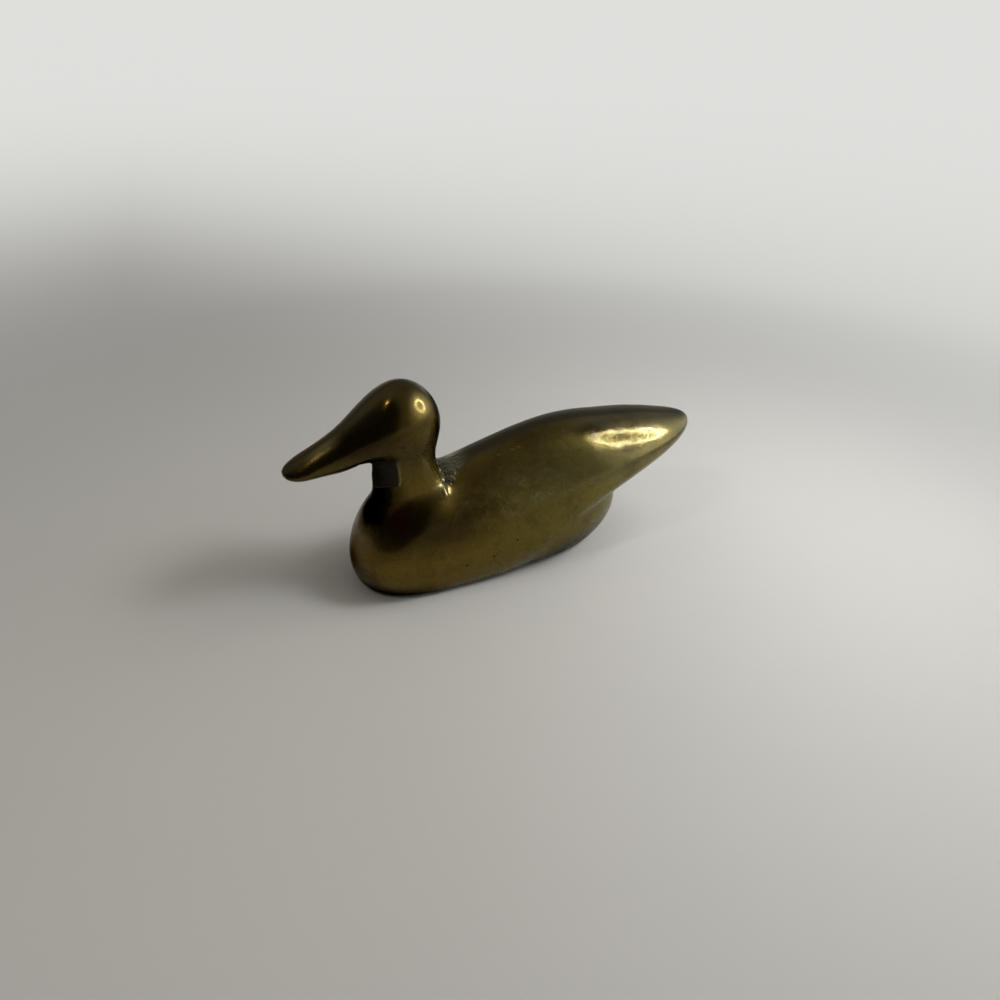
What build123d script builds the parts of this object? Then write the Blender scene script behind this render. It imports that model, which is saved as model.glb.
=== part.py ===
from build123d import *

import os

# A small cast brass duck on a flat foot: a body casting cored out from below, a head casting whose
# spigot goes down through the neck seat and is spread over inside, and a bead of braze in the
# crease behind the neck.
# Millimetres. The bill points along -X, the tail along +X and up is +Z. The origin is on the
# table, under the middle of the duck's length and width.

# Body: breast, back and tail
body_length = 94.6
body_width = 31.2
back_height = 36.2

# Neck, where the head casting stands on the body
neck_depth = 16.0
neck_width = 16.4
seat_height = 27.0
seat_from_breast = 15.8

# Head and bill
head_reach = 28.6
head_height = 24.5
head_width = 20.2

# Foot, a low hull that comes clear of the body under the tail. It runs up inside the body to a
# little below the neck seat, and at its widest it stays inside the body's side.
foot_width = 20.8
foot_setback = 29.0
foot_rake = 4.8
foot_top_below_seat = 7.0
tail_overhang = 27.4
chine_inset = 0.4

# Core, the hollow left in the underside of the body casting
core_height = 17.0
core_draft = 2.2
core_setback = 5.4
core_width = 17.6
rim_behind_core = 4.6

# Spigot under the head, spread over inside the hollow
spigot_diameter = 7.0
spigot_clearance = 0.1
spigot_head_diameter = 10.0
spigot_head_thickness = 1.8

# Braze bead behind the neck, run along the joint in a groove of its own diameter
bead_diameter = 1.8
bead_reach_share = 0.36

# A quarter of a circle drawn as one cubic curve has handles this share of its radius
round_share = 0.5523
square_share = 0.8

# Cross-sections of the body from the tail tip to the shoulders. Each row: back point along and up,
# belly point along and up, half width, place of the widest part from back to belly, and the
# squareness of the back and of the belly, from round to square.
# The back point is counted from the rear of the neck seat, along in tail lengths and up in back
# rises; the belly point from the breast on the table, along in body lengths and up in seat heights;
# the half width in body widths.
body_section_shares = [
    (1.000, 0.378, 0.996, 1.091, 0.052, 0.50, 0.0, 0.0),
    (0.984, 0.473, 0.972, 1.030, 0.142, 0.50, 0.0, 0.0),
    (0.936, 0.559, 0.920, 0.926, 0.260, 0.52, 0.0, 0.0),
    (0.824, 0.725, 0.831, 0.767, 0.377, 0.55, 0.0, 0.0),
    (0.666, 0.874, 0.711, 0.568, 0.458, 0.59, 0.0, 0.0),
    (0.503, 0.976, 0.606, 0.335, 0.497, 0.63, 0.0, 0.0),
    (0.343, 0.866, 0.484, -0.040, 0.500, 0.64, 0.0, 0.0),
    (0.200, 0.567, 0.342, -0.214, 0.494, 0.58, 0.0, 0.0),
    (0.109, 0.323, 0.210, -0.268, 0.488, 0.56, 0.1, 0.0),
    (0.061, 0.186, 0.080, -0.188, 0.482, 0.57, 0.2, 0.0),
    (0.030, 0.107, 0.004, 0.174, 0.454, 0.60, 0.4, 0.0),
    (0.014, 0.044, 0.034, 0.555, 0.378, 0.58, 0.6, 0.0),
]

# The last rings of the body, up to the neck seat: along and up from the middle of the seat in neck
# depths, half width in neck widths, then as above.
shoulder_section_shares = [
    (0.530, 0.022, -0.548, -0.344, 0.570, 0.54, 0.8, 0.3),
]
seat_section_share = (0.500, 0.000, -0.500, 0.000, 0.500, 0.50, 1.0, 0.7)
neck_section_shares = [
    (0.466, 0.240, -0.484, 0.175, 0.476, 0.50, 0.6, 0.8),
]

# Cross-sections of the head from the nape to the tip of the bill: nape or crown point along and up,
# chin point along and up, half width, then as above.
# Along is counted from the middle of the neck in head reaches, up from the seat in head heights,
# half width in head widths.
head_section_shares = [
    (0.256, 0.330, -0.282, 0.216, 0.390, 0.48, 0.3, 0.6),
    (0.308, 0.580, -0.326, 0.278, 0.446, 0.45, 0.0, 0.3),
    (0.252, 0.830, -0.372, 0.298, 0.500, 0.46, 0.0, 0.1),
    (0.056, 1.000, -0.428, 0.282, 0.490, 0.50, 0.0, 0.0),
    (-0.224, 0.882, -0.508, 0.240, 0.406, 0.50, 0.0, 0.0),
    (-0.490, 0.636, -0.608, 0.216, 0.317, 0.50, 0.0, 0.0),
    (-0.720, 0.474, -0.740, 0.212, 0.277, 0.50, 0.0, 0.0),
    (-0.902, 0.360, -0.888, 0.216, 0.243, 0.50, 0.0, 0.0),
    (-0.974, 0.306, -0.956, 0.236, 0.168, 0.50, 0.0, 0.0),
    (-1.000, 0.276, -0.994, 0.262, 0.060, 0.50, 0.0, 0.0),
]

# Plan outlines of the foot from the table up: height, how far the flare and the rake have opened,
# place of the widest part from the front end, and the squareness of the stern
foot_level_shares = [
    (0.00, 0.00, 0.00, 0.20, 0.0),
    (0.18, 0.52, 0.42, 0.30, 0.0),
    (0.40, 0.88, 0.80, 0.42, 0.1),
    (0.72, 1.00, 1.00, 0.50, 0.2),
    (1.00, 0.40, 0.70, 0.48, 0.5),
]

# Widest part of the core, from its front end
core_widest_share = 0.34


def lofted(rings):
    """A solid through closed rings, in order."""
    return Solid.make_loft(rings)


def ring(back, belly, half_width, widest_share, back_squareness, belly_squareness):
    """A closed section of four quarter curves, square to the plane of symmetry."""
    side = Vector(0, half_width, 0)
    widest = back + (belly - back) * widest_share
    quarters = []
    for end, squareness in ((back, back_squareness), (belly, belly_squareness)):
        handle = round_share + (square_share - round_share) * squareness
        drop = end - widest
        for hand in (side, side * -1):
            quarters.append(Bezier(end, end + hand * handle, widest + hand + drop * handle, widest + hand))
    back_left, back_right, belly_left, belly_right = quarters
    return Wire([back_left, belly_left, belly_right, back_right])


def ring_at(row, middle, along, up, across):
    """A section from one row of shares, counted from a middle point in three sizes."""
    back_along, back_up, belly_along, belly_up, half_width, widest, back_square, belly_square = row
    return ring(
        middle + Vector(back_along * along, 0, back_up * up),
        middle + Vector(belly_along * along, 0, belly_up * up),
        half_width * across,
        widest,
        back_square,
        belly_square,
    )


def egg(front, rear, half_width, widest_share, height, stern_squareness=0.0):
    """A plan outline, widest part of the way from its front end."""
    bow = Vector(front, 0, height)
    stern = Vector(rear, 0, height)
    return ring(bow, stern, half_width, widest_share, 0.0, stern_squareness)


# The bill's tip and the tail's tip are equally far from the origin
duck_length = body_length - seat_from_breast + head_reach
breast = Vector(duck_length / 2 - body_length, 0, 0)
seat = breast + Vector(seat_from_breast, 0, seat_height)
seat_ring = ring_at(seat_section_share, seat, neck_depth, neck_depth, neck_width)
seat_rear = seat + Vector(neck_depth / 2, 0, 0)
tail_length = body_length - seat_from_breast - neck_depth / 2
back_rise = back_height - seat_height
foot_front = breast.X + foot_setback
foot_rear = breast.X + body_length - tail_overhang
foot_height = seat_height - foot_top_below_seat
foot_flare = body_width / 2 - chine_inset - foot_width / 2
core_front = breast.X + core_setback
core_rear = foot_rear - rim_behind_core


def make_foot():
    """The hull of the foot, narrow at the table and opening upwards and backwards."""
    rings = []
    for height_share, flare_share, rake_share, widest_share, squareness in foot_level_shares:
        rings.append(
            egg(
                foot_front,
                foot_rear + foot_rake * rake_share,
                foot_width / 2 + foot_flare * flare_share,
                widest_share,
                foot_height * height_share,
                squareness,
            )
        )
    return lofted(rings)


def make_core():
    """The hollow in the underside, tapered so that it draws."""
    rings = []
    for height in (0, core_height):
        taper = core_draft * height / core_height
        rings.append(
            egg(
                core_front + taper,
                core_rear - taper,
                core_width / 2 - taper / 2,
                core_widest_share,
                height,
            )
        )
    return lofted(rings)


def make_body():
    """Breast, back, tail and foot in one casting, hollow below and bored for the spigot."""
    rings = []
    for back_along, back_up, belly_along, belly_up, half_width, *form in body_section_shares:
        back = seat_rear + Vector(back_along * tail_length, 0, back_up * back_rise)
        belly = breast + Vector(belly_along * body_length, 0, belly_up * seat_height)
        rings.append(ring(back, belly, half_width * body_width, *form))
    rings += [ring_at(row, seat, neck_depth, neck_depth, neck_width) for row in shoulder_section_shares]
    rings.append(seat_ring)
    body = lofted(rings) + make_foot()
    body = split(body, Plane.XY, keep=Keep.TOP)
    body -= make_core()
    bore = Plane(seat) * Cylinder(
        spigot_diameter / 2 + spigot_clearance,
        seat_height,
        align=(Align.CENTER, Align.CENTER, Align.MAX),
    )
    return body - bore


def make_head():
    """Bill, head and neck in one casting, with the spigot that holds it."""
    rings = [seat_ring]
    rings += [ring_at(row, seat, neck_depth, neck_depth, neck_width) for row in neck_section_shares]
    rings += [ring_at(row, seat, head_reach, head_height, head_width) for row in head_section_shares]
    top_down = (Align.CENTER, Align.CENTER, Align.MAX)
    spigot_length = seat_height - core_height
    spigot = Plane(seat) * Cylinder(spigot_diameter / 2, spigot_length, align=top_down)
    under_roof = Plane(seat - Vector(0, 0, spigot_length))
    spread = under_roof * Cylinder(spigot_head_diameter / 2, spigot_head_thickness, align=top_down)
    return lofted(rings) + spigot + spread


def make_bead():
    """Braze along the joint behind the neck, from one side round to the other."""
    far_side = seat_ring.edges()[0].trim(0, bead_reach_share)
    near_side = seat_ring.edges()[-1].trim(1 - bead_reach_share, 1)
    path = Wire([near_side, far_side])
    start = Plane(origin=path @ 0, z_dir=path % 0)
    bead = sweep(start * Circle(bead_diameter / 2), path=path)
    for end in (0, 1):
        bead += Pos(path @ end) * Sphere(bead_diameter / 2)
    return bead


bead = make_bead()
body = make_body() - bead
head = make_head() - bead

os.makedirs("parts", exist_ok=True)
for name, solid in {"body_casting": body, "head_casting": head, "neck_braze": bead}.items():
    export_step(solid, f"parts/{name}.step")
    box = solid.bounding_box()
    print(name, "solids", len(solid.solids()), "volume", round(solid.volume), "box", box.min, box.max)
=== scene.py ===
from math import cos, exp, radians, sin

import bmesh
import bpy
from mathutils import Euler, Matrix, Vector, noise
from mathutils.geometry import intersect_point_line


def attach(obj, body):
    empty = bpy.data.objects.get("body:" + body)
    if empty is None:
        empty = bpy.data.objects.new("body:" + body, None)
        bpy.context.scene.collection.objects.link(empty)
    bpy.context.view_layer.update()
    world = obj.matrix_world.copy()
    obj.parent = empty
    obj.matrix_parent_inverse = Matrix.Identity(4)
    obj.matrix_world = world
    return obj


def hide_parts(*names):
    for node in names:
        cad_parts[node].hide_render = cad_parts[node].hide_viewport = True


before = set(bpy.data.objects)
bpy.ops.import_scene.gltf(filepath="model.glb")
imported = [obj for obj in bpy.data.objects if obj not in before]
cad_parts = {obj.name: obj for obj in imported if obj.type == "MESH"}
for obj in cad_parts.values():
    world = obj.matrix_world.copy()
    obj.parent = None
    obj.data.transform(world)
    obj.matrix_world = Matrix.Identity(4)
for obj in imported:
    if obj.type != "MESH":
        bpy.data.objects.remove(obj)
bpy.context.view_layer.update()

# Sizes are in metres, and places on the duck in millimetres. The bill points along -X, and the
# near side is -Y.
mm = 0.001
seat_height = 27 * mm

# Camera
photo_pixels = 1000
focal_pixels = 751
film_width = 36
camera_place = (-0.0634, -0.1554, 0.1157)
camera_tilt = 59
camera_turn = -22
nearest_seen = 0.01

camera = bpy.data.objects.new("camera", bpy.data.cameras.new("camera"))
bpy.context.scene.collection.objects.link(camera)
camera.data.sensor_width = film_width
camera.data.lens = film_width * focal_pixels / photo_pixels
camera.data.clip_start = nearest_seen
camera.location = camera_place
camera.rotation_euler = Euler((radians(camera_tilt), 0, radians(camera_turn)))
bpy.context.scene.camera = camera
bpy.context.scene.view_settings.view_transform = "Standard"


# Nodes
def new_node(tree, kind, settings=None, **inputs):
    """A node of this kind with its settings, and its inputs set or linked."""
    made = tree.nodes.new("ShaderNode" + kind)
    for name, value in (settings or {}).items():
        setattr(made, name, value)
    for name, value in inputs.items():
        plug(tree, made.inputs[name.replace("_", " ")], value)
    return made


def plug(tree, socket, value):
    """Links an output to a socket, or sets the socket to a plain value."""
    if isinstance(value, bpy.types.NodeSocket):
        tree.links.new(value, socket)
    elif isinstance(value, (tuple, list)) and socket.type == "RGBA":
        socket.default_value = (*value, 1)
    else:
        socket.default_value = value


def math_node(tree, operation, first, second=0.0, clamp=False):
    """One sum on two values."""
    made = tree.nodes.new("ShaderNodeMath")
    made.operation = operation
    made.use_clamp = clamp
    plug(tree, made.inputs[0], first)
    plug(tree, made.inputs[1], second)
    return made.outputs[0]


def carried_over(tree, operation, values):
    """One sum carried over a row of values."""
    result = values[0]
    for value in values[1:]:
        result = math_node(tree, operation, result, value)
    return result


def times(tree, *values):
    """The product of the values."""
    return carried_over(tree, "MULTIPLY", values)


def plus(tree, *values):
    """The values added up."""
    return carried_over(tree, "ADD", values)


def largest(tree, *values):
    """The largest of the values."""
    return carried_over(tree, "MAXIMUM", values)


def left_over(tree, share):
    """What a share leaves of the whole."""
    return math_node(tree, "SUBTRACT", 1.0, share)


def vector_node(tree, operation, first, second=None):
    """One sum on a vector, or on two."""
    made = new_node(tree, "VectorMath", {"operation": operation})
    plug(tree, made.inputs[0], first)
    if second is not None:
        plug(tree, made.inputs[1], second)
    return made


def mix_colour(tree, amount, first, second):
    """The first colour going over to the second by an amount."""
    made = tree.nodes.new("ShaderNodeMix")
    made.data_type = "RGBA"
    plug(tree, made.inputs[0], amount)
    plug(tree, made.inputs[6], first)
    plug(tree, made.inputs[7], second)
    return made.outputs[2]


def mix_value(tree, amount, first, second):
    """The first value going over to the second by an amount."""
    made = tree.nodes.new("ShaderNodeMix")
    plug(tree, made.inputs[0], amount)
    plug(tree, made.inputs[2], first)
    plug(tree, made.inputs[3], second)
    return made.outputs[0]


def ramp(tree, value, low, high, to_low=0.0, to_high=1.0):
    """A value carried smoothly from one span to another."""
    made = new_node(tree, "MapRange", {"interpolation_type": "SMOOTHSTEP"}, Value=value)
    for name, number in (("From Min", low), ("From Max", high), ("To Min", to_low), ("To Max", to_high)):
        made.inputs[name].default_value = number
    return made.outputs[0]


def grain(tree, place, scale, detail=5.0, roughness=0.65):
    """Noise on a place, from 0 to 1."""
    made = new_node(tree, "TexNoise", Vector=place, Scale=scale, Detail=detail, Roughness=roughness)
    return made.outputs[0]


def new_material(name, metallic=0.0):
    """A plain material: itself, its tree, its shader and the place on the piece."""
    material = bpy.data.materials.new(name)
    material.use_nodes = True
    tree = material.node_tree
    shader = tree.nodes["Principled BSDF"]
    shader.inputs["Metallic"].default_value = metallic
    return material, tree, shader, new_node(tree, "TexCoord").outputs["Object"]


def new_group(name, inputs, outputs):
    """An empty shader group with its sockets: the group and its two ends."""
    group = bpy.data.node_groups.new(name, "ShaderNodeTree")
    for socket, kind, value in inputs:
        made = group.interface.new_socket(socket, in_out="INPUT", socket_type="NodeSocket" + kind)
        if value is not None:
            made.default_value = value
    for socket, kind in outputs:
        group.interface.new_socket(socket, in_out="OUTPUT", socket_type="NodeSocket" + kind)
    return group, group.nodes.new("NodeGroupInput"), group.nodes.new("NodeGroupOutput")


def use_group(tree, group, **inputs):
    """A placed group with its inputs set or linked."""
    made = tree.nodes.new("ShaderNodeGroup")
    made.node_tree = group
    for name, value in inputs.items():
        plug(tree, made.inputs[name.replace("_", " ")], value)
    return made


# Shared effects
def make_patch():
    """A soft-edged patch on the surface, its outline broken up by grain."""
    group, given, out = new_group(
        "patch",
        [
            ("Place", "Vector", None),
            ("Centre", "Vector", None),
            ("Size", "Vector", None),
            ("Edge", "Float", 0.4),
            ("Ragged", "Float", 0.3),
            ("Grain", "Float", 400.0),
        ],
        [("Mask", "Float")],
    )
    away = vector_node(group, "SUBTRACT", given.outputs["Place"], given.outputs["Centre"])
    scaled = vector_node(group, "DIVIDE", away.outputs[0], given.outputs["Size"])
    length = vector_node(group, "LENGTH", scaled.outputs[0])
    rough = math_node(group, "SUBTRACT", grain(group, given.outputs["Place"], given.outputs["Grain"]), 0.5)
    shift = times(group, rough, given.outputs["Ragged"], 2.0)
    distance = plus(group, length.outputs["Value"], shift)
    into = math_node(group, "SUBTRACT", distance, left_over(group, given.outputs["Edge"]))
    share = math_node(group, "DIVIDE", into, given.outputs["Edge"], clamp=True)
    plug(group, out.inputs["Mask"], left_over(group, share))
    return group


def make_hairlines():
    """Fine straight scratches in one direction."""
    group, given, out = new_group(
        "hairlines",
        [
            ("Place", "Vector", None),
            ("Turn", "Vector", None),
            ("Fineness", "Float", 900.0),
            ("Length", "Float", 14.0),
            ("Share", "Float", 0.2),
        ],
        [("Mask", "Float")],
    )
    turned = new_node(group, "VectorRotate", {"rotation_type": "EULER_XYZ"}, Vector=given.outputs["Place"])
    plug(group, turned.inputs["Rotation"], given.outputs["Turn"])
    squeeze = new_node(group, "CombineXYZ", Y=1.0, Z=1.0)
    plug(group, squeeze.inputs["X"], math_node(group, "DIVIDE", 1.0, given.outputs["Length"]))
    drawn = vector_node(group, "MULTIPLY", turned.outputs[0], squeeze.outputs[0])
    fine = grain(group, drawn.outputs[0], given.outputs["Fineness"], detail=2.0, roughness=0.5)
    ridge = math_node(group, "ABSOLUTE", math_node(group, "SUBTRACT", fine, 0.5))
    limit = times(group, given.outputs["Share"], 0.1)
    plug(group, out.inputs["Mask"], left_over(group, math_node(group, "DIVIDE", ridge, limit, clamp=True)))
    return group


patch_group = make_patch()
hairline_group = make_hairlines()


def patch(tree, place, centre, size, edge, ragged, fineness):
    """The mask of one patch, centre and size in millimetres."""
    made = use_group(
        tree,
        patch_group,
        Place=place,
        Centre=tuple(value * mm for value in centre),
        Size=tuple(value * mm for value in size),
        Edge=edge,
        Ragged=ragged,
        Grain=fineness,
    )
    return made.outputs["Mask"]


def hairlines(tree, place, turn, fineness, length, share):
    """The mask of one lie of scratches."""
    made = use_group(
        tree, hairline_group, Place=place, Turn=turn, Fineness=fineness, Length=length, Share=share
    )
    return made.outputs["Mask"]


# Brass and its films, the same tones laid as painted highlights and painted shade, what their edges
# reflect, and braze
# Bare and worn brass, also laid as painted highlights
bare_and_highlight_brass = (0.50, 0.42, 0.20)
rubbed_and_highlight_brass = (0.34, 0.28, 0.11)
brown_gold = (0.140, 0.091, 0.016)
old_gold = (0.138, 0.105, 0.022)
olive_gold = (0.155, 0.130, 0.036)
head_brown = (0.088, 0.064, 0.011)
# Dark film, also laid as painted shade
dark_film_and_shade = (0.040, 0.027, 0.006)
cheek_dark = (0.032, 0.016, 0.004)
black_film_and_shade = (0.006, 0.005, 0.003)
crest_grey = (0.060, 0.053, 0.034)
red_film = (0.085, 0.022, 0.006)
green_bloom = (0.270, 0.252, 0.105)
raw_grey = (0.200, 0.190, 0.130)
# Soot, also laid as painted shade low at the front and along the table
soot_and_shade = (0.010, 0.009, 0.005)
filed_dark = (0.030, 0.027, 0.017)
warm_film = (0.075, 0.040, 0.010)
yellow_haze = (0.250, 0.222, 0.080)
clean_edge = (1, 1, 1)
dim_edge_tint = (0.12, 0.11, 0.09)
braze_top = (0.36, 0.33, 0.19)
braze_hollow = (0.07, 0.065, 0.035)

# Places where the brass is worn or filmed over, and places where highlights and shade are painted on it.
# Each row: centre and half size in millimetres, softness of the edge, raggedness, and the fineness of the
# grain that breaks it up.
brass_places = {
    # Crown, nape and bill ridge: worn brass, partly a painted glow round the lamp's glint and painted
    # highlights
    "crown": ((-21.9, -6.2, 48.4), (4.5, 4, 4.5), 0.9, 0.1, 300),
    "brow": ((-30.5, -6, 49), (5, 5, 5), 0.8, 0.1, 300),
    "nape": ((-20.6, -7.2, 36.5), (3, 3, 5), 0.9, 0.1, 300),
    "bill ridge": ((-44.0, -2.6, 39.2), (8, 2.6, 3.4), 0.8, 0.3, 300),
    # Painted shade under the neck and low on the near flank
    "under the neck": ((-22, -13, 19), (19, 11, 8.5), 0.8, 0.3, 160),
    # Black film on the breast, partly a painted dark reflection
    "breast": ((-35, 0, 26.5), (10.5, 13.5, 13), 0.35, 0.15, 160),
    "blush": ((-29.5, -10.5, 21), (4.5, 5, 6.5), 0.7, 0.5, 260),
    # Darker and redder on the cheek, darker at the bill tip
    "cheek": ((-37, -8, 41.5), (16, 9, 7), 0.7, 0.4, 200),
    "bill tip": ((-53, 0, 34), (4, 6, 6), 0.6, 0.3, 300),
    "warm back": ((6, -3.5, 34), (16, 4.5, 5), 0.9, 0.6, 160),
    "hazy flank": ((12, -11.5, 27), (22, 8, 8), 0.9, 0.6, 120),
    "bloom": ((1, -12.5, 24), (20, 8, 8), 0.9, 0.9, 300),
    # Worn brass on the tail, painted brighter as the lamp's glint, and painted shade in streaks round the
    # glint
    "worn and highlit tail": ((31, -9, 31), (14, 7, 5), 0.6, 0.5, 260),
    "polished tail and highlight": ((38, -8.4, 31.8), (5.5, 2.6, 2.6), 0.7, 0.5, 500),
    "before the glint": ((21.5, -6.8, 34.0), (7, 3.6, 2.4), 0.7, 0.6, 400),
    "in the glint": ((28.5, -9.2, 32.4), (4, 2, 2), 0.7, 0.6, 400),
    "below the glint": ((30, -11.8, 30.2), (6, 1.8, 1.8), 0.7, 0.6, 400),
    "breast foot": ((-42, 0, 9), (6, 10, 9), 0.7, 0.3, 200),
}

# Small marks in the flank: the centre and half length of each scrape, and the centre of each pit
scrapes = (((-3.1, -5.1, 31.1), 0.8), ((0.6, -5.0, 32.0), 0.9), ((2.2, -5.1, 32.4), 0.9))
scrape_height = 0.14
pits = ((-8.3, -15.3, 9.2), (-15.3, -15.2, 8.3), (-2.2, -15.3, 12.5), (5.4, -9.5, 31.2))
pit_size = (0.45, 0.8, 0.4)
mark_depth = 0.8
mark_fineness = 2500


class Finish:
    """A metal as its films go on one over another, and the places that they follow."""

    def __init__(self, tree, place):
        self.tree = tree
        self.place = place
        self.axes = new_node(tree, "SeparateXYZ", Vector=place)
        self.mottle = grain(tree, place, 420.0, detail=5.0, roughness=0.7)
        self.speckle = grain(tree, place, 1700.0, detail=4.0, roughness=0.7)
        self.colour = None
        self.roughness = None

    def mark(self, name):
        """How strongly the casting carries a mark."""
        return new_node(self.tree, "Attribute", {"attribute_name": name}).outputs["Fac"]

    def span(self, axis, low, high, to_low=0.0, to_high=1.0):
        """How far a place has come along an axis from one point to another, in millimetres."""
        return ramp(self.tree, self.axes.outputs[axis], low * mm, high * mm, to_low, to_high)

    def spot(self, name):
        """The mask of a named place."""
        return patch(self.tree, self.place, *brass_places[name])

    def film(self, mask, tone):
        """Lays a tone over the colour."""
        self.colour = mix_colour(self.tree, mask, self.colour, tone)

    def stain(self, name, tone, share):
        """Lays a share of a tone over a named place, and gives the place's mask."""
        mask = self.spot(name)
        self.film(times(self.tree, mask, share), tone)
        return mask

    def buff(self, mask, roughness):
        """Takes the surface over to another roughness."""
        self.roughness = mix_value(self.tree, mask, self.roughness, roughness)

    def roughen(self, mask, amount):
        """Makes the surface rougher by an amount."""
        self.roughness = plus(self.tree, self.roughness, times(self.tree, mask, amount))


def lay_gold(skin):
    """The polished metal, brown at the breast, olive at the tail and darker on the head, with painted
    shade on the head's far side.
    """
    tree = skin.tree
    cloud = grain(tree, skin.place, 85.0, detail=6.0, roughness=0.6)
    along = plus(tree, skin.axes.outputs["X"], times(tree, cloud, 30 * mm))
    skin.colour = mix_colour(tree, ramp(tree, along, -20 * mm, 25 * mm), brown_gold, old_gold)
    skin.film(ramp(tree, along, 14 * mm, 40 * mm), olive_gold)
    skin.roughness = ramp(tree, skin.mottle, 0.3, 0.7, 0.22, 0.30)

    head = times(tree, skin.span("Z", 27, 34), skin.span("X", -13, -19))
    skin.film(head, head_brown)
    # Painted shade on the far side of the head
    far_head_shade = times(tree, head, skin.span("Y", -3.5, 1.5))
    skin.film(times(tree, far_head_shade, 0.4), dark_film_and_shade)
    skin.buff(head, ramp(tree, skin.mottle, 0.3, 0.7, 0.21, 0.29))
    tail = times(tree, skin.span("X", 12, 26), skin.span("Z", 20, 27))
    skin.buff(tail, 0.14)
    return head, far_head_shade, tail


def smudge_and_light_head(skin):
    """Smudges all over, and brighter brass on the crown, nape and bill ridge: partly worn bright, partly a
    painted glow and painted highlights.
    """
    smudge_grain = grain(skin.tree, skin.place, 170.0, detail=7.0, roughness=0.75)
    smudge = ramp(skin.tree, smudge_grain, 0.45, 0.68, 0.0, 0.45)
    skin.film(smudge, dark_film_and_shade)
    skin.roughen(smudge, 0.12)
    crown = skin.stain("crown", rubbed_and_highlight_brass, 0.4)
    skin.buff(largest(skin.tree, crown, skin.spot("brow")), 0.12)
    skin.stain("nape", rubbed_and_highlight_brass, 0.7)
    skin.buff(skin.stain("bill ridge", rubbed_and_highlight_brass, 0.7), 0.26)


def darken_front(skin, raw):
    """The raw metal of the neck and the hollow, and darker tones from the breast to the bill: painted
    shade under the neck, black film with a painted dark reflection on the breast, a red blush, and a
    darker cheek and bill tip.
    """
    tree = skin.tree
    neck_front = skin.span("X", -25, -26)
    skin.film(raw, mix_colour(tree, neck_front, raw_grey, filed_dark))
    skin.buff(raw, mix_value(tree, neck_front, 0.42, 0.55))
    # Painted shade under the neck and low on the near flank
    skin.stain("under the neck", dark_film_and_shade, 0.95)
    # Black film on the breast, partly a painted dark reflection
    breast = times(tree, skin.spot("breast"), left_over(tree, raw))
    skin.film(breast, black_film_and_shade)
    skin.stain("blush", red_film, 0.8)
    skin.stain("cheek", cheek_dark, 0.7)
    skin.stain("bill tip", dark_film_and_shade, 0.7)
    return neck_front, breast


def cloud_flank(skin):
    """A warm film on the back, and a haze with a speckled bloom in it on the flank."""
    tree = skin.tree
    skin.stain("warm back", warm_film, 0.6)
    skin.stain("hazy flank", yellow_haze, 0.4)
    bloom = skin.spot("bloom")
    speckled = times(tree, ramp(tree, skin.mottle, 0.42, 0.62), ramp(tree, skin.speckle, 0.40, 0.62))
    skin.film(times(tree, bloom, speckled, 0.8), green_bloom)
    skin.roughen(bloom, 0.08)


def wear_and_light_tail(skin):
    """The tail: worn brass painted brighter where the lamp glints on it, with painted shade in streaks
    round the glint. Gives the mask of the wear.
    """
    worn = skin.stain("worn and highlit tail", rubbed_and_highlight_brass, 0.5)
    skin.stain("polished tail and highlight", bare_and_highlight_brass, 0.5)
    # Painted shade in streaks round the glint
    skin.stain("before the glint", dark_film_and_shade, 0.9)
    skin.stain("in the glint", dark_film_and_shade, 0.65)
    skin.stain("below the glint", dark_film_and_shade, 0.65)
    return worn


def grey_crest(skin):
    """A duller grey tone beyond the line of the back. Gives its mask."""
    crest = times(skin.tree, skin.span("Y", -3.6, -0.6), skin.span("Z", 27, 30), skin.span("X", -14, -8))
    skin.film(times(skin.tree, crest, 0.85), crest_grey)
    skin.buff(crest, 0.38)
    return crest


def nick_flank(skin):
    """Short bright scrapes by the back, and black pits of the casting."""
    for centre, half_length in scrapes:
        size = (half_length, mark_depth, scrape_height)
        scrape = patch(skin.tree, skin.place, centre, size, 0.9, 0.5, mark_fineness)
        skin.film(times(skin.tree, scrape, 0.4), bare_and_highlight_brass)
    for centre in pits:
        skin.film(patch(skin.tree, skin.place, centre, pit_size, 0.6, 0.5, mark_fineness), soot_and_shade)


def soil_and_shade_foot(skin):
    """Grime with painted contact shade along the table, and painted shade low at both ends. Gives the
    masks of the low shade.
    """
    tree = skin.tree
    # Grime and painted contact shade along the table
    skin.film(skin.span("Z", 0.4, 1.8, 0.85, 0.0), soot_and_shade)
    # Painted shade low at the rear and at the front of the breast
    low_rear = times(tree, skin.span("Z", 2, 14, 0.7, 0.0), skin.span("X", 0, 14))
    skin.film(low_rear, dark_film_and_shade)
    breast_foot = skin.stain("breast foot", dark_film_and_shade, 0.25)
    # Painted shade where the lowest front reflects its own contact shadow
    low_front = times(tree, skin.span("Z", 1.2, 6, 0.9, 0.0), skin.span("X", -16, -30))
    skin.film(low_front, soot_and_shade)
    return low_rear, breast_foot, low_front


def scratches(skin, worn, raw):
    """Fine scratches all over, deep ones where the tail is worn, and the grain of raw metal."""
    tree = skin.tree
    fine = hairlines(tree, skin.place, (0.2, 0.4, 0.5), 900.0, 22.0, 0.10)
    cross = hairlines(tree, skin.place, (0.9, -0.3, 1.7), 700.0, 26.0, 0.07)
    deep = hairlines(tree, skin.place, (0.1, 0.9, -0.4), 500.0, 9.0, 0.35)
    height = plus(
        tree,
        times(tree, largest(tree, fine, cross), -0.3),
        times(tree, worn, deep, -1.4),
        times(tree, worn, skin.mottle, 9.0),
        times(tree, skin.speckle, 0.25),
        times(tree, raw, skin.mottle, 6.0),
    )
    return new_node(tree, "Bump", Strength=0.25, Distance=0.04 * mm, Height=height).outputs[0]


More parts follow.
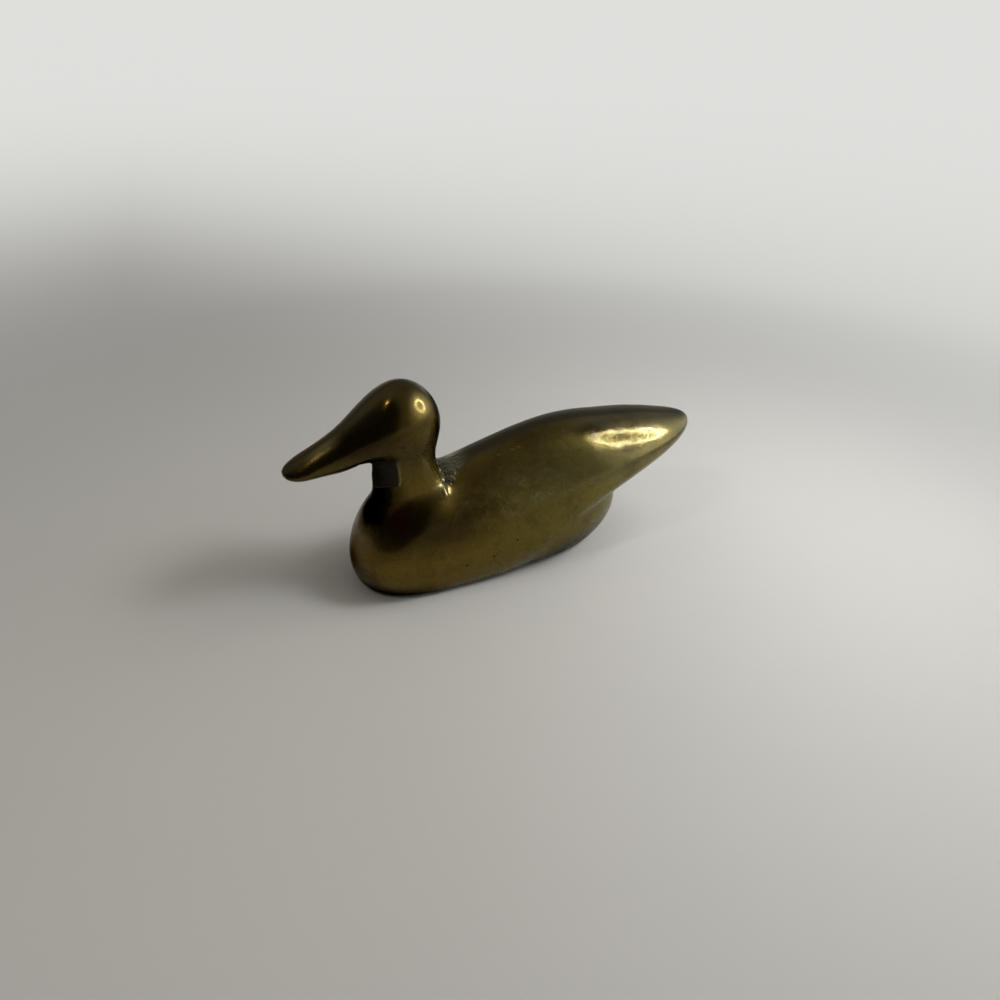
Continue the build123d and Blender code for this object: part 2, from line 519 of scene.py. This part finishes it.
def aged_brass(name):
    """Hand-polished brass under years of tarnish, with the unpolished places in the casting's corners, and
    highlights and shade painted into its colour.
    """
    material, tree, shader, place = new_material(name, metallic=1.0)
    shader.inputs["Coat Roughness"].default_value = 0.06
    shader.inputs["Coat IOR"].default_value = 1.8
    skin = Finish(tree, place)
    raw, line, rubbed_and_glints = (skin.mark(kind) for kind in ("raw", "line", "rubbed_and_glints"))
    head, far_head_shade, tail = lay_gold(skin)
    smudge_and_light_head(skin)
    neck_front, breast = darken_front(skin, raw)
    cloud_flank(skin)
    worn = wear_and_light_tail(skin)
    crest = grey_crest(skin)
    nick_flank(skin)
    # Worn bright metal on the filed ridge and the braze drip, and painted highlights on the folds below
    # the crease
    skin.film(rubbed_and_glints, bare_and_highlight_brass)
    skin.buff(rubbed_and_glints, 0.26)
    skin.film(ramp(tree, skin.speckle, 0.52, 0.78, 0.0, 0.5), dark_film_and_shade)
    skin.film(line, soot_and_shade)
    low_rear, breast_foot, low_front = soil_and_shade_foot(skin)

    # Where the grazing reflection is tinted dark: over the films and the painted shade, and at the head's
    # rear as painted shade on its sheen
    edge_dimming = largest(
        tree,
        breast,
        low_rear,
        low_front,
        times(tree, crest, 0.4),
        times(tree, breast_foot, 0.8),
        times(tree, far_head_shade, 0.5),
        times(tree, head, skin.span("X", -21, -18)),
        times(tree, raw, neck_front, 0.8),
    )
    gloss = largest(tree, times(tree, head, 0.07), times(tree, tail, 0.3), 0.04)
    dull = largest(tree, raw, breast, crest, far_head_shade)
    plug(tree, shader.inputs["Base Color"], skin.colour)
    plug(tree, shader.inputs["Roughness"], skin.roughness)
    plug(tree, shader.inputs["Specular Tint"], mix_colour(tree, edge_dimming, clean_edge, dim_edge_tint))
    plug(tree, shader.inputs["Coat Weight"], times(tree, gloss, left_over(tree, dull)))
    plug(tree, shader.inputs["Normal"], scratches(skin, worn, raw))
    return material


def braze(name):
    """Braze left as it set, lumpy and dull with bright tops."""
    material, tree, shader, place = new_material(name, metallic=1.0)
    lump = grain(tree, place, 1100.0, detail=4.0, roughness=0.6)
    colour = mix_colour(tree, ramp(tree, lump, 0.42, 0.62), braze_top, braze_hollow)
    bump = new_node(tree, "Bump", Strength=0.6, Distance=0.1 * mm, Height=lump)
    plug(tree, shader.inputs["Base Color"], colour)
    plug(tree, shader.inputs["Roughness"], ramp(tree, lump, 0.3, 0.7, 0.24, 0.5))
    plug(tree, shader.inputs["Normal"], bump.outputs[0])
    return material


# Marks on the neck, given for the near side and made on both, with how wide and how high or
# deep each is
neck_line = [
    (-19.9, -7.3, 39.0),
    (-19.7, -6.1, 36.0),
    (-19.2, -5.0, 33.3),
    (-19.5, -5.6, 31.8),
    (-18.8, -5.6, 30.1),
    (-18.1, -5.5, 28.8),
    (-17.2, -5.6, 27.8),
    (-16.2, -5.7, 27.1),
    (-15.6, -6.6, 26.9),
]
neck_line_width = 0.26
neck_line_depth = 0.22
filed_ridge = [
    (-28.9, -8.3, 36.1),
    (-28.8, -7.8, 34.8),
    (-28.4, -7.5, 32.8),
    (-28.3, -7.5, 30.6),
    (-28.7, -7.5, 29.4),
]
filed_ridge_width = 0.30
filed_ridge_height = 0.10
# The folds and the web between them are also painted bright as highlights
fold_lines = [
    [(-19.2, -7.3, 28.1), (-18.5, -7.7, 27.4), (-18.2, -8.6, 26.2), (-18.1, -9.1, 25.6)],
    [(-18.2, -7.3, 27.5), (-17.0, -7.3, 26.7), (-17.2, -8.4, 26.0), (-17.4, -8.9, 25.7)],
]
fold_width = 0.46
fold_height = 0.15
drip_line = [
    (-17.6, -4.3, 29.4),
    (-16.9, -4.6, 28.6),
    (-16.1, -4.4, 27.9),
    (-15.5, -4.8, 27.7),
    (-15.0, -5.4, 27.6),
]
drip_width = 0.42
drip_height = 0.22

# How far round the middle of the neck the skin is cut finer, evened out and marked, and how far
# round the folds it is cut finer still
neck_middle = (-22, -5, 31)
fine_reach = 14
even_reach = 15
marked_reach = 16
fold_middle = (-17.5, -5, 28.5)
fold_reach = 6.5

# Middle and half size of the other marked places
web_between_folds = ((-18.2, -7.7, 27.0), (2.2, 2.0, 2.0))
web_height = 0.4
worn_tail = ((32, -9, 32), (16, 9, 7))
cheek_dent = ((-27.7, -9.9, 39.9), (0.5, 0.8, 0.35))
dent_depth = 0.22

# Filed front of the neck: how far back it runs, and for its lower and upper edge the height in
# the middle, the rise to the side and the half width
filed_rear = -28.6
filed_bottom = (26.1, 3.1, 7.2)
filed_top = (33.0, 3.3, 7.5)
filed_depth = 0.16
stroke_height = 0.07
stroke_turn = 8
filed_roughness = 0.09

# Rough crease behind the neck, a diamond in plan
notch_middle = -15.8
notch_half_length = 7.2
notch_front = -19.2
notch_top = 33.5
notch_depth = 0.05
notch_lumps = 0.26
notch_grain = 0.17

# Edges that polishing has rounded: the middle and half size of each, how deep in it the rounding
# begins, and how many times it is gone over
chine = ((16, -13, 8), (18, 5, 8), 0.1, 24)
shoulder = ((-27, -9, 27), (5, 4, 3), 0.2, 20)

# Waves left by the hand, by the tail's wear, in the hollow and in the braze: height in
# millimetres, and fineness
hand_waves = ((0.05, 130), (0.012, 330))
tail_waves = ((0.055, 420), (0.012, 1300))
hollow_waves = ((0.06, 0.5),)
bead_waves = ((0.22, 1300),)

# Hollow in the underside, an oval in plan, and how its outer edge draws in at the table
hollow_middle = -6.9
hollow_half_length = 28.9
hollow_half_width = 9.1
hollow_top = 17.5
tuck_height = 1.8
tuck_depth = 0.9

# Skin of the castings and of the bead
skin_step = 0.45 * mm
bead_step = 0.3 * mm
joint_clear = 0.05 * mm
joint_overlap = 0.7 * mm
rim_top = 1.4 * mm
rounded_from = 0.8 * mm
crease_angle = 50


# Castings
def merged_copy(node):
    """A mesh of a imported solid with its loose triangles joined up."""
    shape = bmesh.new()
    shape.from_mesh(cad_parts[node].data)
    bmesh.ops.remove_doubles(shape, verts=shape.verts, dist=0.001 * mm)
    return shape


def add_shape(shape, other):
    """Adds one bmesh to another."""
    carrier = bpy.data.meshes.new("carrier")
    other.to_mesh(carrier)
    shape.from_mesh(carrier)
    bpy.data.meshes.remove(carrier)


def cut_level(shape, height, keep_top):
    """Cuts a closed shape at a height and closes the cut, and gives the new flat faces."""
    cut = bmesh.ops.bisect_plane(
        shape,
        geom=shape.verts[:] + shape.edges[:] + shape.faces[:],
        plane_co=(0, 0, height),
        plane_no=(0, 0, 1),
        clear_inner=keep_top,
        clear_outer=not keep_top,
    )
    rim = [part for part in cut["geom_cut"] if isinstance(part, bmesh.types.BMEdge)]
    filled = bmesh.ops.holes_fill(shape, edges=rim, sides=0)
    return bmesh.ops.triangulate(shape, faces=filled["faces"])["faces"]


def as_object(shape, name):
    """A new object from a bmesh, at the origin."""
    mesh = bpy.data.meshes.new(name)
    shape.to_mesh(mesh)
    made = bpy.data.objects.new(name, mesh)
    bpy.context.scene.collection.objects.link(made)
    return made


def remeshed(thing, voxel):
    """The even skin of everything in an object, as a bmesh. The object is used up."""
    change = thing.modifiers.new("skin", "REMESH")
    change.mode = "VOXEL"
    change.voxel_size = voxel
    seen = thing.evaluated_get(bpy.context.evaluated_depsgraph_get())
    shape = bmesh.new()
    shape.from_mesh(seen.to_mesh())
    bpy.data.objects.remove(thing)
    return shape


def smooth(shape, chosen, passes, level=False):
    """Evens out the chosen points of a skin, or only their places in plan."""
    for _ in range(passes):
        bmesh.ops.smooth_vert(
            shape, verts=chosen, factor=0.5, use_axis_x=True, use_axis_y=True, use_axis_z=not level
        )


def mirrored(point):
    """A place in millimetres, brought to the near side."""
    return Vector((point.x / mm, -abs(point.y) / mm, point.z / mm))


def near(point, centre, reach):
    """Whether a point, on either side, lies within reach of a place in millimetres."""
    return (mirrored(point) - Vector(centre)).length < reach


def blend_in(value, low, high):
    """A smooth step from 0 at low to 1 at high."""
    share = min(max((value - low) / (high - low), 0.0), 1.0)
    return share * share * (3 - 2 * share)


def within(at, centre, size):
    """How deep a place lies in a soft round patch, from 1 in its middle to 0."""
    reach = sum(((along - middle) / half) ** 2 for along, middle, half in zip(at, centre, size))
    return exp(-2.0 * reach)


def off_line(at, line):
    """Distance from a place to a bent line."""
    nearest = []
    for start, end in zip(line, line[1:]):
        foot, share = intersect_point_line(at, start, end)
        if share < 0 or share > 1:
            foot = Vector(start if share < 0 else end)
        nearest.append((at - foot).length)
    return min(nearest)


def on_line(at, line, width):
    """How near a place lies to a bent line of some width, from 1 on it to 0."""
    return exp(-((off_line(at, line) / width) ** 2))


def waves(point, grades):
    """The height of a few grades of noise, one over another."""
    return sum(height * noise.noise(point * fineness) for height, fineness in grades)


def duck_skin():
    """Both castings in one even skin, closed over the joint, with the edges that polishing rounds."""
    shape = merged_copy("body_casting")
    head = merged_copy("head_casting")
    lid = cut_level(head, seat_height + joint_clear, keep_top=True)
    pushed = bmesh.ops.extrude_face_region(head, geom=lid)["geom"]
    lowered = [part for part in pushed if isinstance(part, bmesh.types.BMVert)]
    bmesh.ops.translate(head, verts=lowered, vec=(0, 0, -joint_overlap))
    bmesh.ops.delete(head, geom=lid, context="FACES")
    add_shape(shape, head)
    skin = remeshed(as_object(shape, "skin"), skin_step)
    smooth(skin, [v for v in skin.verts if v.co.z < rim_top], 12, level=True)
    above = [v for v in skin.verts if v.co.z > rounded_from]
    smooth(skin, above, 6)
    for centre, size, depth, passes in (chine, shoulder):
        smooth(skin, [v for v in above if within(mirrored(v.co), centre, size) > depth], passes)
    return skin


def refine(shape, centre, reach):
    """Divides the faces round a place, so that fine marks can be cut there."""
    edges = [e for e in shape.edges if near(e.verts[0].co, centre, reach)]
    bmesh.ops.subdivide_edges(shape, edges=edges, cuts=1, use_grid_fill=True)


def edge_height(at, middle_height, rise, half_width):
    """The height of an edge that rises from the middle of the neck to its side."""
    return middle_height + rise * min(-at.y / half_width, 1.0)


def filed_front(at):
    """How far a place lies in the filed front of the neck."""
    above = blend_in(at.z - edge_height(at, *filed_bottom), -0.2, 0.2)
    below = blend_in(edge_height(at, *filed_top) - at.z, -0.2, 0.2)
    return blend_in(filed_rear - at.x, -0.15, 0.25) * above * below


def rough_notch(at):
    """How far a place lies in the rough, unpolished crease behind the neck."""
    diamond = (abs(at.x - notch_middle) + abs(at.y)) / notch_half_length
    ragged = 0.12 * noise.noise(at * 0.9)
    low = blend_in(notch_top + 6 * ragged - at.z, 0.0, 1.2)
    return low * blend_in(1.0 - diamond + ragged, -0.05, 0.16) * blend_in(at.x - notch_front, -0.3, 0.4)


def neck_marks(at):
    """How the marks of file and braze lift the neck, how raw and lined they leave it, and where it is worn
    bright or painted bright as highlights on the folds.
    """
    fine = noise.noise(at * 1.6)
    filed = filed_front(at)
    notch = rough_notch(at)
    joint = on_line(at, neck_line, neck_line_width)
    ridge = on_line(at, filed_ridge, filed_ridge_width)
    drip = on_line(at, drip_line, drip_width)
    fold = max(on_line(at, line, fold_width) for line in fold_lines)
    web = within(at, *web_between_folds)
    strokes = stroke_height * sin(at.z * stroke_turn + 3 * fine)
    lift = filed * (strokes + filed_roughness * noise.noise(at * 1.8) - filed_depth)
    lift += notch * (notch_lumps * noise.noise(at * 0.8) + notch_grain * fine - notch_depth)
    lift += filed_ridge_height * ridge - neck_line_depth * joint + fold_height * fold
    lift += web_height * web + drip_height * drip * (1 + fine)
    rubbed_and_glints = max(0.35 * ridge * (0.5 + fine), 0.8 * drip, fold, 0.8 * web)
    return lift, max(filed, notch), 0.9 * joint * (1 - drip), rubbed_and_glints


def hollow_share(at):
    """How far out a place lies from the hollow's middle, 1 at its wall."""
    return ((at.x - hollow_middle) / hollow_half_length) ** 2 + (at.y / hollow_half_width) ** 2


def in_hollow(at):
    """Whether a place lies in the hollow of the underside."""
    return at.z < hollow_top and hollow_share(at) < 1


def tuck_under(v):
    """Draws the lowest edge of the outside in a little, most of all at the front."""
    at = mirrored(v.co)
    if at.z > tuck_height or in_hollow(at):
        return
    share = (1 - at.z / tuck_height) ** 2 * (0.4 + 0.6 * blend_in(10 - at.x, 0, 30))
    share *= blend_in(hollow_share(at), 1.0, 1.4)
    along = (at.x - hollow_middle) / hollow_half_length**2
    across = v.co.y / mm / hollow_half_width**2
    v.co -= Vector((along, across, 0)).normalized() * share * tuck_depth * mm


def mark_skin(shape):
    """Cuts the marks of file, joint and use into the skin, and notes where its finish changes and where
    highlights are painted.
    """
    raw, line, rubbed_and_glints = (shape.verts.layers.float.new(kind) for kind in ("raw", "line", "rubbed_and_glints"))
    for v in shape.verts:
        at = mirrored(v.co)
        lift = waves(v.co, hand_waves)
        if near(v.co, neck_middle, marked_reach):
            marked, v[raw], v[line], v[rubbed_and_glints] = neck_marks(at)
            lift += marked
        tail_wear = within(at, *worn_tail)
        if tail_wear > 0.05:
            lift += tail_wear * waves(v.co, tail_waves)
        if v.co.y < 0:
            dent = within(at, *cheek_dent)
            lift -= dent_depth * dent
            v[line] = max(v[line], 0.6 * dent)
        if in_hollow(at):
            v[raw] = 1.0
            lift = waves(at, hollow_waves)
        if at.z > 0.2:
            v.co += v.normal * lift * mm
        tuck_under(v)
        v.co.z = max(v.co.z, 0.0)


def marked_skin():
    """The whole duck in one mesh, with its marks cut in and its shading kept as flow."""
    skin = duck_skin()
    refine(skin, neck_middle, fine_reach)
    refine(skin, fold_middle, fold_reach)
    smooth(skin, [v for v in skin.verts if near(v.co, neck_middle, even_reach)], 6)
    skin.normal_update()
    mark_skin(skin)
    skin.normal_update()
    flow = skin.verts.layers.float_vector.new("flow")
    for v in skin.verts:
        v[flow] = v.normal
    whole = bpy.data.meshes.new("whole")
    skin.to_mesh(whole)
    return whole


def finish_piece(shape, name, material, slot, *nodes):
    """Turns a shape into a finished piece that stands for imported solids."""
    bmesh.ops.recalc_face_normals(shape, faces=shape.faces)
    piece = as_object(shape, name)
    piece.data.shade_smooth()
    piece.data.set_sharp_from_angle(angle=radians(crease_angle))
    piece.data.materials.append(material)
    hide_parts(*nodes)
    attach(piece, "root")
    return piece


def keep_flow(piece):
    """Keeps the shading of the uncut skin along the joint, so that the polish runs over it."""
    mesh = piece.data
    flow = mesh.attributes["flow"]
    normals = [Vector((0, 0, 0)) for _ in mesh.loops]
    for face in mesh.polygons:
        if abs(face.normal.z) > 0.98 and abs(face.center.z - seat_height) < 0.01 * mm:
            continue
        for index in face.loop_indices:
            vertex = mesh.loops[index].vertex_index
            if abs(mesh.vertices[vertex].co.z - seat_height) < 0.001 * mm:
                normals[index] = flow.data[vertex].vector.normalized()
    mesh.normals_split_custom_set(normals)


def make_body(whole, brass):
    """The duck up to the neck seat."""
    body = bmesh.new()
    body.from_mesh(whole)
    cut_level(body, seat_height, keep_top=False)
    keep_flow(finish_piece(body, "duck_body", brass, "aged_brass", "body_casting"))


def make_head(whole, brass):
    """The duck above the neck seat, with the spigot that goes down into the body."""
    head = bmesh.new()
    head.from_mesh(whole)
    cut_level(head, seat_height, keep_top=True)
    spigot = merged_copy("head_casting")
    cut_level(spigot, seat_height - joint_clear, keep_top=False)
    add_shape(head, spigot)
    keep_flow(finish_piece(head, "duck_head", brass, "aged_brass", "head_casting"))


def make_bead(metal):
    """The lumpy bead behind the neck."""
    bead = merged_copy("neck_braze")
    long_edges = [e for e in bead.edges if e.calc_length() > bead_step]
    bmesh.ops.subdivide_edges(bead, edges=long_edges, cuts=1)
    bead.normal_update()
    for v in bead.verts:
        v.co += v.normal * waves(v.co, bead_waves) * mm
    finish_piece(bead, "neck_bead", metal, "braze_metal", "neck_braze")


brass = aged_brass("aged brass")
whole_duck = marked_skin()
make_body(whole_duck, brass)
make_head(whole_duck, brass)
make_bead(braze("braze"))

# Table
# The table's colour is painted paler to the right, as light falling from that side
table_left = (0.615, 0.607, 0.59)
table_right = (0.79, 0.795, 0.79)
far_left = (0.31, 0.302, 0.285)
far_right = (0.74, 0.742, 0.72)
black = (0, 0, 0)
table_clear = 0.03 * mm
table_reach = 3.0
sweep_radius = 0.8
sweep_angle = 60
sweep_steps = 6
turn_steps = 64

# The far table glows with painted light that pales to the right of one line and beyond a distance, in
# metres
pale_line = -0.10
pale_distance = 0.25
distance_share = 0.8
pale_softness = 0.06


def far_tone(tree, along, distance):
    """The glowing tone of the table away from the duck, painted light that is paler to the right and far
    off.
    """
    right = largest(tree, math_node(tree, "SUBTRACT", along, pale_line), 0.0)
    beyond = largest(tree, math_node(tree, "SUBTRACT", distance, pale_distance), 0.0)
    reach = plus(tree, right, times(tree, beyond, distance_share))
    square = times(tree, reach, reach)
    share = math_node(tree, "DIVIDE", square, plus(tree, square, pale_softness))
    return mix_colour(tree, share, far_left, far_right)


def table_top(name):
    """A pale matt table with painted light, paler to the right and far off, and painted shade in the
    polish behind the camera and to the left.
    """
    material, tree, shader, place = new_material(name)
    axes = new_node(tree, "SeparateXYZ", Vector=place)
    rays = new_node(tree, "LightPath")
    unseen = left_over(tree, rays.outputs["Is Camera Ray"])
    # Painted shade in the polish: the table seen in the brass is darker behind the camera and to the left
    dim_behind = ramp(tree, axes.outputs["Y"], -0.12, -0.40, 0.0, 0.35)
    dim_left = ramp(tree, axes.outputs["X"], -0.10, -0.40, 0.0, 0.55)
    dimmed = times(tree, unseen, largest(tree, dim_behind, dim_left))
    cloud = grain(tree, place, 14.0, detail=5.0, roughness=0.6)
    colour = mix_colour(tree, ramp(tree, axes.outputs["X"], -0.06, 0.16), table_left, table_right)
    colour = mix_colour(tree, times(tree, cloud, 0.06), colour, black)
    colour = mix_colour(tree, dimmed, colour, black)
    plug(tree, shader.inputs["Base Color"], colour)
    shader.inputs["Roughness"].default_value = 0.6
    away = vector_node(tree, "LENGTH", place).outputs["Value"]
    glow_colour = mix_colour(tree, dimmed, far_tone(tree, axes.outputs["X"], away), black)
    glow = new_node(tree, "Emission", Color=glow_colour)
    seen = plus(tree, rays.outputs["Is Camera Ray"], rays.outputs["Is Glossy Ray"])
    seen = math_node(tree, "ADD", seen, rays.outputs["Is Transmission Ray"], clamp=True)
    mixed = new_node(tree, "MixShader")
    plug(tree, mixed.inputs[0], times(tree, ramp(tree, away, 0.08, 0.32), seen))
    plug(tree, mixed.inputs[1], shader.outputs[0])
    plug(tree, mixed.inputs[2], glow.outputs[0])
    plug(tree, tree.nodes["Material Output"].inputs["Surface"], mixed.outputs[0])
    return material


def make_table():
    """A round table whose far edge sweeps up all round."""
    shape = bmesh.new()
    profile = [Vector((0, 0, 0)), Vector((table_reach, 0, 0))]
    for step in range(1, sweep_steps + 1):
        turn = radians(sweep_angle) * step / sweep_steps
        profile.append(Vector((table_reach + sweep_radius * sin(turn), 0, sweep_radius * (1 - cos(turn)))))
    points = [shape.verts.new(point) for point in profile]
    edges = [shape.edges.new(pair) for pair in zip(points, points[1:])]
    bmesh.ops.spin(
        shape,
        geom=points + edges,
        cent=(0, 0, 0),
        axis=(0, 0, 1),
        angle=radians(360),
        steps=turn_steps,
        use_merge=True,
    )
    bmesh.ops.remove_doubles(shape, verts=shape.verts, dist=0.01 * mm)
    bmesh.ops.recalc_face_normals(shape, faces=shape.faces)
    for v in shape.verts:
        v.co.z -= table_clear
    table = as_object(shape, "table")
    table.data.shade_smooth()
    table.data.materials.append(table_top("pale table"))


make_table()

# Light: the room's tones, and the azimuth and elevation of its dark and its bright side
room_tone = (0.25, 0.243, 0.23)
room_dark = (0.04, 0.038, 0.033)
room_glow = (1.4, 1.38, 1.3)
dark_way = (200, 10)
glow_way = (-14, 18)


def aim(azimuth, elevation):
    """The way from the duck to a side of the room."""
    flat = cos(radians(elevation))
    return Vector((flat * cos(radians(azimuth)), flat * sin(radians(azimuth)), sin(radians(elevation))))


def light_room():
    """A dim room, darker where the bill points and bright behind the lamps."""
    world = bpy.data.worlds.new("room")
    world.use_nodes = True
    tree = world.node_tree
    way = new_node(tree, "TexCoord").outputs["Generated"]
    axes = new_node(tree, "SeparateXYZ", Vector=way)
    rays = new_node(tree, "LightPath")

    def towards(place, low, high):
        facing = vector_node(tree, "DOT_PRODUCT", way, aim(*place))
        return ramp(tree, facing.outputs["Value"], low, high)

    colour = mix_colour(tree, towards(dark_way, 0.22, 0.5), room_tone, room_dark)
    colour = mix_colour(tree, towards(glow_way, 0.62, 0.98), colour, room_glow)
    backdrop = times(tree, rays.outputs["Is Camera Ray"], ramp(tree, axes.outputs["Z"], 0.50, 0.35))
    in_polish = plus(tree, rays.outputs["Is Glossy Ray"], rays.outputs["Is Transmission Ray"])
    low_band = times(
        tree,
        in_polish,
        ramp(tree, axes.outputs["Z"], 0.16, 0.10),
        ramp(tree, axes.outputs["X"], -0.3, 0.1),
    )
    backdrop = math_node(tree, "ADD", backdrop, low_band, clamp=True)
    plug(tree, tree.nodes["Background"].inputs["Color"], mix_colour(tree, backdrop, colour, far_right))
    bpy.context.scene.world = world


def place_lamp(name, place, width, power, colour, ring_share=None, in_polish=True):
    """A round lamp that faces the duck, full or as a ring, and seen in its polish or not."""
    lamp = bpy.data.lights.new(name, "AREA")
    lamp.shape = "DISK"
    lamp.size = width * mm
    lamp.energy = power
    lamp.color = colour
    if ring_share is not None:
        lamp.use_nodes = True
        tree = lamp.node_tree
        inside = new_node(tree, "NewGeometry").outputs["Parametric"]
        away = vector_node(tree, "DISTANCE", inside, (0.5, 0.5, 0))
        edge = math_node(tree, "GREATER_THAN", away.outputs["Value"], ring_share / 2)
        plug(tree, tree.nodes["Emission"].inputs["Strength"], edge)
    thing = bpy.data.objects.new(name, lamp)
    bpy.context.scene.collection.objects.link(thing)
    thing.location = Vector(place) * mm
    way = thing.location - Vector((0, 0, seat_height))
    thing.rotation_euler = way.to_track_quat("Z", "Y").to_euler()
    thing.visible_camera = False
    thing.visible_glossy = in_polish


light_room()
place_lamp("ring lamp", (107, -31, 130), 82, 0.13, (1.0, 0.98, 0.94), ring_share=0.66)
place_lamp("soft lamp", (325, -150, 360), 150, 0.74, (1.0, 1.0, 0.99), in_polish=False)
place_lamp("small lamp", (-238, -101, 330), 16, 0.13, (1.0, 0.94, 0.84), in_polish=False)
place_lamp("far lamp", (-500, 390, 850), 40, 0.25, (1.0, 0.85, 0.6))

bpy.context.view_layer.update()
